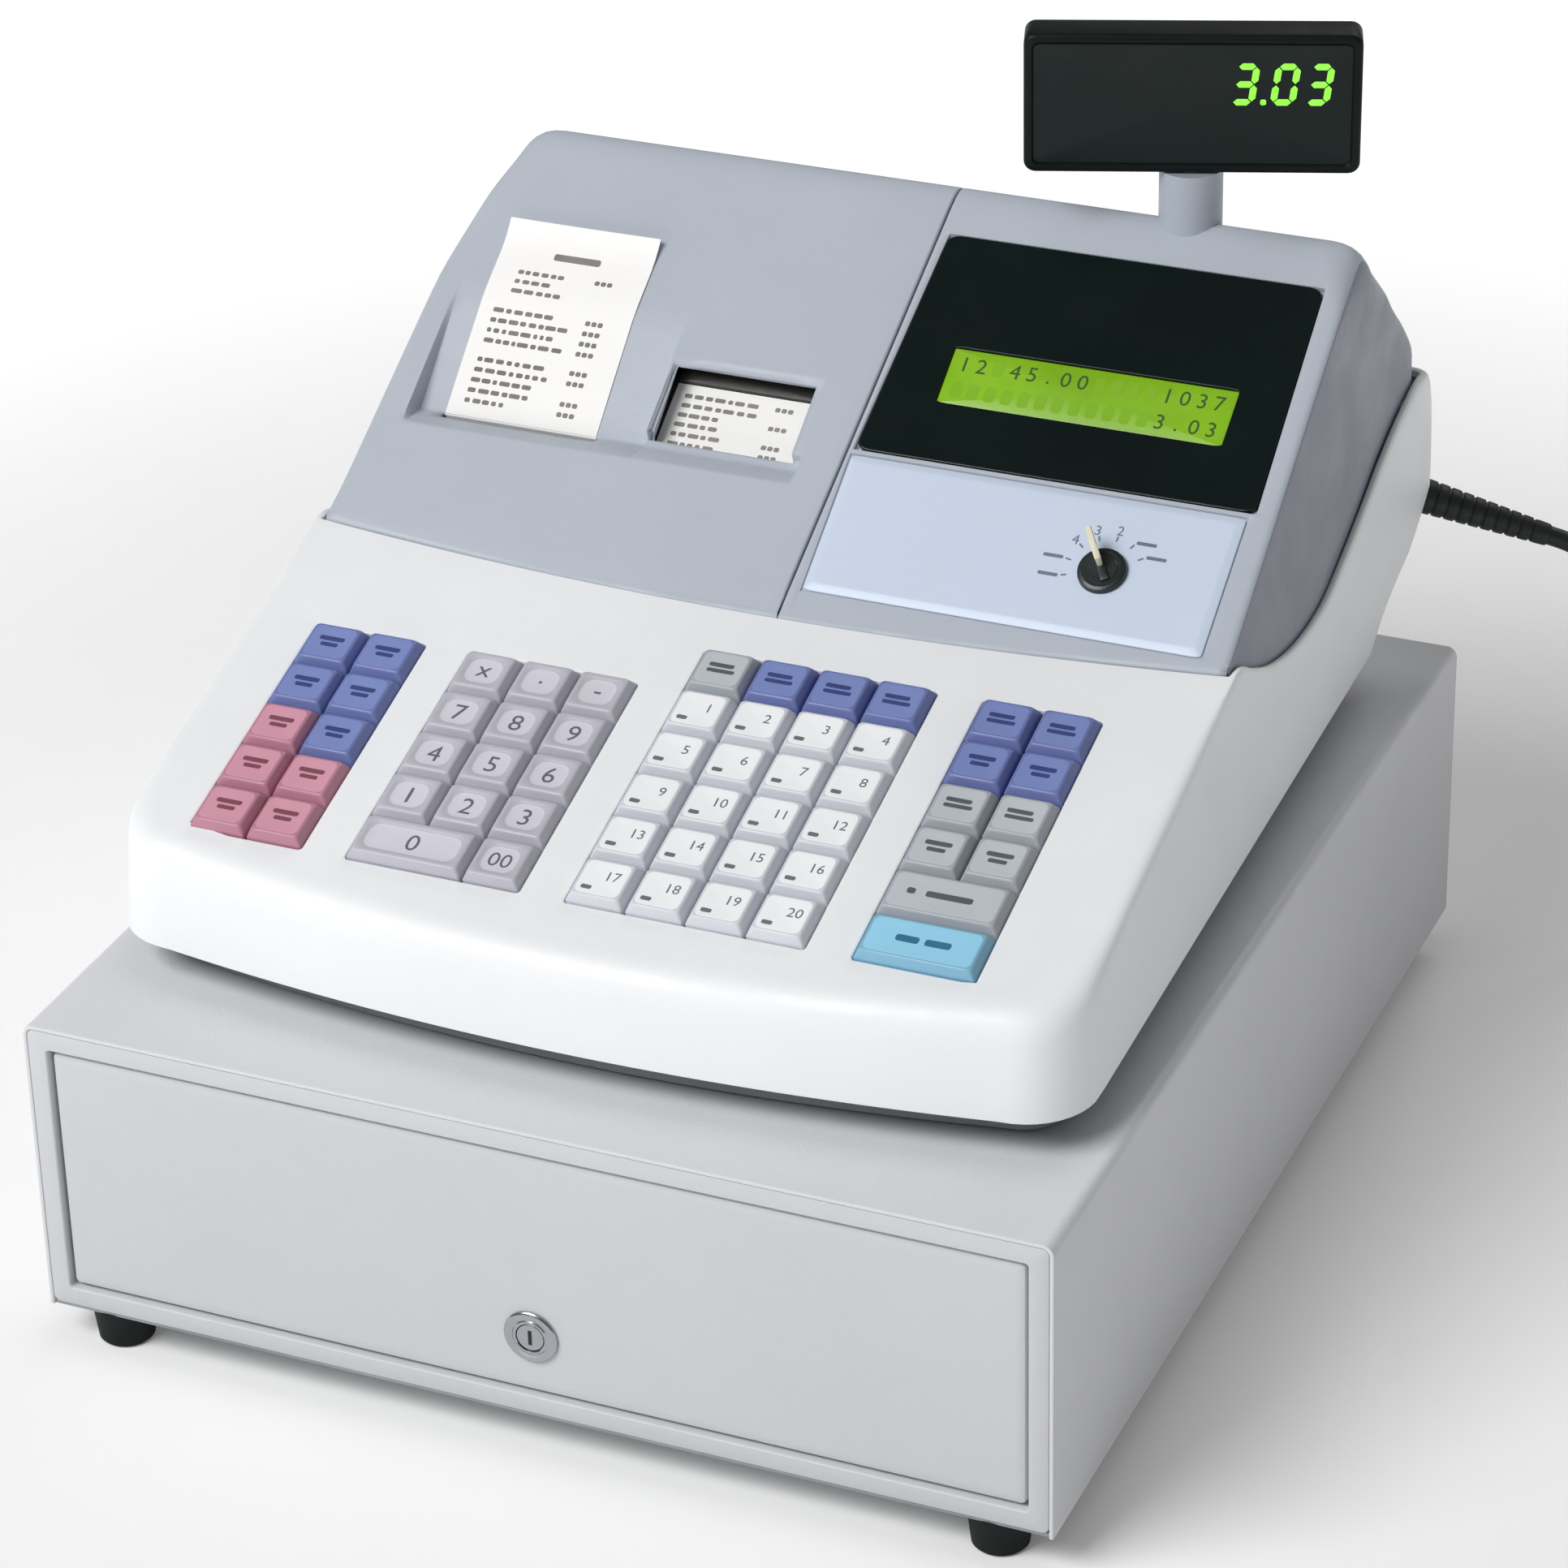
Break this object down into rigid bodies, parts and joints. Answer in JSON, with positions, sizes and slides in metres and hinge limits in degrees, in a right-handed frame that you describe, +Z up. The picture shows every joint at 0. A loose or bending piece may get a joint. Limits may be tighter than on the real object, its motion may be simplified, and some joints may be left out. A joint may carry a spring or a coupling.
{
  "type": "cash register",
  "caption": "Electronic cash register with sloping keyboard, receipt and journal printer, key switch and pop-up customer display, standing on a lockable cash drawer with a money tray.",
  "frame": {"origin": "centre of the object's outline on the floor, without the lead", "axes": "+X to the cashier's right, +Y to the back, +Z up"},
  "size_m": [0.5325, 0.5425, 0.3822],
  "materials": {
    "cabinet_enamel": "fine textured light grey enamel",
    "front_enamel": "fine textured off-white enamel",
    "zinc_steel": "zinc-plated sheet",
    "chrome": "polished",
    "black_rubber": "matte",
    "white_case": "fine spark texture",
    "grey_case": "fine spark texture",
    "housing_grey": "fine spark texture",
    "display_black": "smoked window",
    "display_green": "lit liquid crystal",
    "panel_blue": "printed film",
    "switch_black": "smooth",
    "pole_grey": "smooth",
    "head_dark": "smooth",
    "tray_black": "smooth",
    "nylon": "smooth",
    "paper": null,
    "board_green": "printed circuit board",
    "transformer_steel": "varnished laminations",
    "key_blue": "clear cap over a blue label",
    "key_pink": "clear cap over a pink label",
    "key_lavender": "clear cap over a lavender label",
    "key_white": "clear cap over a white label",
    "key_grey": "clear cap over a grey label",
    "key_cyan": "clear cap over a light blue label",
    "lead_black": "smooth sheath"
  },
  "bodies": {
    "register": {"cabinet_shell": "cabinet_enamel", "cabinet_base": "cabinet_enamel", "front_frame": "front_enamel", "rubber_feet": "black_rubber", "drawer_runners": "zinc_steel", "release_solenoid": "zinc_steel", "lower_case": "grey_case", "upper_case": "white_case", "key_plate": "zinc_steel", "main_board": "board_green", "transformer": "transformer_steel", "top_housing": "housing_grey", "display_window": "display_black", "lcd_panel": "display_green", "mode_panel": "panel_blue", "printer_frame": "zinc_steel", "journal_paper": "paper", "strain_relief": "lead_black", "power_cord": "lead_black", "cord_coil": "lead_black", "power_plug": "lead_black"},
    "drawer": {"drawer_front": "front_enamel", "drawer_body": "zinc_steel", "latch_striker": "zinc_steel", "cash_tray": "tray_black", "clip_rod": "zinc_steel", "lock_barrel": "chrome"},
    "front_rollers": {"front_rollers": "nylon"},
    "rear_rollers": {"rear_rollers": "nylon"},
    "bill_clip_1": {"bill_clip_1": "tray_black"},
    "bill_clip_2": {"bill_clip_2": "tray_black"},
    "bill_clip_3": {"bill_clip_3": "tray_black"},
    "bill_clip_4": {"bill_clip_4": "tray_black"},
    "lock_plug": {"lock_plug": "chrome"},
    "latch_lever": {"latch_lever": "zinc_steel"},
    "mode_key": {"mode_key": "switch_black"},
    "printer_cover": {"printer_cover": "housing_grey", "receipt_paper": "paper"},
    "platen": {"platen_roller": "black_rubber"},
    "receipt_roll": {"receipt_roll": "paper"},
    "journal_roll": {"journal_roll": "paper"},
    "takeup_spool": {"takeup_spool": "nylon"},
    "popup_pole": {"popup_pole": "pole_grey"},
    "popup_head": {"popup_head": "head_dark", "popup_window": "display_black"},
    "keys_blue": {"keys_blue": "key_blue"},
    "keys_pink": {"keys_pink": "key_pink"},
    "keys_number_1": {"keys_number_1": "key_lavender"},
    "keys_number_2": {"keys_number_2": "key_lavender"},
    "keys_number_3": {"keys_number_3": "key_lavender"},
    "key_zero": {"key_zero": "key_lavender"},
    "keys_function": {"keys_function": "key_blue"},
    "keys_item_1": {"keys_item_1": "key_white"},
    "keys_item_2": {"keys_item_2": "key_white"},
    "keys_item_3": {"keys_item_3": "key_white"},
    "keys_item_4": {"keys_item_4": "key_white"},
    "keys_tender_blue": {"keys_tender_blue": "key_blue"},
    "keys_tender_grey": {"keys_tender_grey": "key_grey"},
    "key_subtotal": {"key_subtotal": "key_grey"},
    "key_total": {"key_total": "key_cyan"}
  },
  "joints": [
    {"name": "drawer_slide", "type": "slide", "parent": "register", "child": "drawer", "axis": [0, -1, 0], "range_m": [0, 0.28]},
    {"name": "front_rollers_spin", "type": "hinge", "parent": "register", "child": "front_rollers", "pos_m": [0, -0.188, 0.0307], "axis": [1, 0, 0], "continuous": true},
    {"name": "rear_rollers_spin", "type": "hinge", "parent": "drawer", "child": "rear_rollers", "pos_m": [0, 0.135, 0.061], "axis": [1, 0, 0], "continuous": true},
    {"name": "bill_clip_1_lift", "type": "hinge", "parent": "drawer", "child": "bill_clip_1", "pos_m": [-0.12037, 0.139, 0.093], "axis": [-1, 0, 0], "range_deg": [0, 36]},
    {"name": "bill_clip_2_lift", "type": "hinge", "parent": "drawer", "child": "bill_clip_2", "pos_m": [-0.04013, 0.139, 0.093], "axis": [-1, 0, 0], "range_deg": [0, 36]},
    {"name": "bill_clip_3_lift", "type": "hinge", "parent": "drawer", "child": "bill_clip_3", "pos_m": [0.04013, 0.139, 0.093], "axis": [-1, 0, 0], "range_deg": [0, 36]},
    {"name": "bill_clip_4_lift", "type": "hinge", "parent": "drawer", "child": "bill_clip_4", "pos_m": [0.12037, 0.139, 0.093], "axis": [-1, 0, 0], "range_deg": [0, 36]},
    {"name": "lock_turn", "type": "hinge", "parent": "drawer", "child": "lock_plug", "pos_m": [0, -0.215, 0.045], "axis": [0, 1, 0], "range_deg": [0, 90]},
    {"name": "latch_pivot", "type": "hinge", "parent": "register", "child": "latch_lever", "pos_m": [0, 0.176, 0.06], "axis": [1, 0, 0], "range_deg": [0, 12], "stiffness_Nm_per_rad": 0.05, "springref_deg": -9.74},
    {"name": "mode_switch", "type": "hinge", "parent": "register", "child": "mode_key", "pos_m": [0.1135, 0.00754, 0.23586], "axis": [0, -0.5505, 0.8348], "range_deg": [-122, 58]},
    {"name": "printer_cover_hinge", "type": "hinge", "parent": "register", "child": "printer_cover", "pos_m": [0, 0.159, 0.2765], "axis": [-1, 0, 0], "range_deg": [0, 60]},
    {"name": "platen_feed", "type": "hinge", "parent": "register", "child": "platen", "pos_m": [0, 0.023, 0.224], "axis": [1, 0, 0], "continuous": true},
    {"name": "takeup_spool_turn", "type": "hinge", "parent": "register", "child": "takeup_spool", "pos_m": [0, 0.05, 0.222], "axis": [1, 0, 0], "continuous": true},
    {"name": "receipt_roll_turn", "type": "hinge", "parent": "register", "child": "receipt_roll", "pos_m": [-0.1105, 0.103, 0.248], "axis": [1, 0, 0], "continuous": true},
    {"name": "journal_roll_turn", "type": "hinge", "parent": "register", "child": "journal_roll", "pos_m": [-0.0345, 0.103, 0.248], "axis": [1, 0, 0], "continuous": true},
    {"name": "popup_pole_slide", "type": "slide", "parent": "register", "child": "popup_pole", "axis": [0, 0, 1], "range_m": [-0.016, 0]},
    {"name": "popup_head_swivel", "type": "hinge", "parent": "popup_pole", "child": "popup_head", "pos_m": [0.1, 0.13, 0.3314], "axis": [0, 0, 1], "range_deg": [-169, 131]},
    {"name": "keys_blue_press", "type": "slide", "parent": "register", "child": "keys_blue", "axis": [0, 0.284, -0.9588], "range_m": [0, 0.003], "stiffness_N_per_m": 300, "springref_m": -0.002},
    {"name": "keys_pink_press", "type": "slide", "parent": "register", "child": "keys_pink", "axis": [0, 0.284, -0.9588], "range_m": [0, 0.003], "stiffness_N_per_m": 300, "springref_m": -0.002},
    {"name": "keys_number_1_press", "type": "slide", "parent": "register", "child": "keys_number_1", "axis": [0, 0.284, -0.9588], "range_m": [0, 0.003], "stiffness_N_per_m": 300, "springref_m": -0.002},
    {"name": "keys_number_2_press", "type": "slide", "parent": "register", "child": "keys_number_2", "axis": [0, 0.284, -0.9588], "range_m": [0, 0.003], "stiffness_N_per_m": 300, "springref_m": -0.002},
    {"name": "keys_number_3_press", "type": "slide", "parent": "register", "child": "keys_number_3", "axis": [0, 0.284, -0.9588], "range_m": [0, 0.003], "stiffness_N_per_m": 300, "springref_m": -0.002},
    {"name": "key_zero_press", "type": "slide", "parent": "register", "child": "key_zero", "axis": [0, 0.284, -0.9588], "range_m": [0, 0.003], "stiffness_N_per_m": 300, "springref_m": -0.002},
    {"name": "keys_function_press", "type": "slide", "parent": "register", "child": "keys_function", "axis": [0, 0.284, -0.9588], "range_m": [0, 0.003], "stiffness_N_per_m": 300, "springref_m": -0.002},
    {"name": "keys_item_1_press", "type": "slide", "parent": "register", "child": "keys_item_1", "axis": [0, 0.284, -0.9588], "range_m": [0, 0.003], "stiffness_N_per_m": 300, "springref_m": -0.002},
    {"name": "keys_item_2_press", "type": "slide", "parent": "register", "child": "keys_item_2", "axis": [0, 0.284, -0.9588], "range_m": [0, 0.003], "stiffness_N_per_m": 300, "springref_m": -0.002},
    {"name": "keys_item_3_press", "type": "slide", "parent": "register", "child": "keys_item_3", "axis": [0, 0.284, -0.9588], "range_m": [0, 0.003], "stiffness_N_per_m": 300, "springref_m": -0.002},
    {"name": "keys_item_4_press", "type": "slide", "parent": "register", "child": "keys_item_4", "axis": [0, 0.284, -0.9588], "range_m": [0, 0.003], "stiffness_N_per_m": 300, "springref_m": -0.002},
    {"name": "keys_tender_blue_press", "type": "slide", "parent": "register", "child": "keys_tender_blue", "axis": [0, 0.284, -0.9588], "range_m": [0, 0.003], "stiffness_N_per_m": 300, "springref_m": -0.002},
    {"name": "keys_tender_grey_press", "type": "slide", "parent": "register", "child": "keys_tender_grey", "axis": [0, 0.284, -0.9588], "range_m": [0, 0.003], "stiffness_N_per_m": 300, "springref_m": -0.002},
    {"name": "key_subtotal_press", "type": "slide", "parent": "register", "child": "key_subtotal", "axis": [0, 0.284, -0.9588], "range_m": [0, 0.003], "stiffness_N_per_m": 300, "springref_m": -0.002},
    {"name": "key_total_press", "type": "slide", "parent": "register", "child": "key_total", "axis": [0, 0.284, -0.9588], "range_m": [0, 0.003], "stiffness_N_per_m": 300, "springref_m": -0.002}
  ],
  "couplings": [
    {"joint": "front_rollers_spin", "follows": "drawer_slide", "rad_per_m": 111.11},
    {"joint": "rear_rollers_spin", "follows": "drawer_slide", "rad_per_m": 108.7},
    {"joint": "takeup_spool_turn", "follows": "platen_feed", "ratio": 0.6364},
    {"joint": "receipt_roll_turn", "follows": "platen_feed", "ratio": 0.2121},
    {"joint": "journal_roll_turn", "follows": "platen_feed", "ratio": 0.2121}
  ]
}
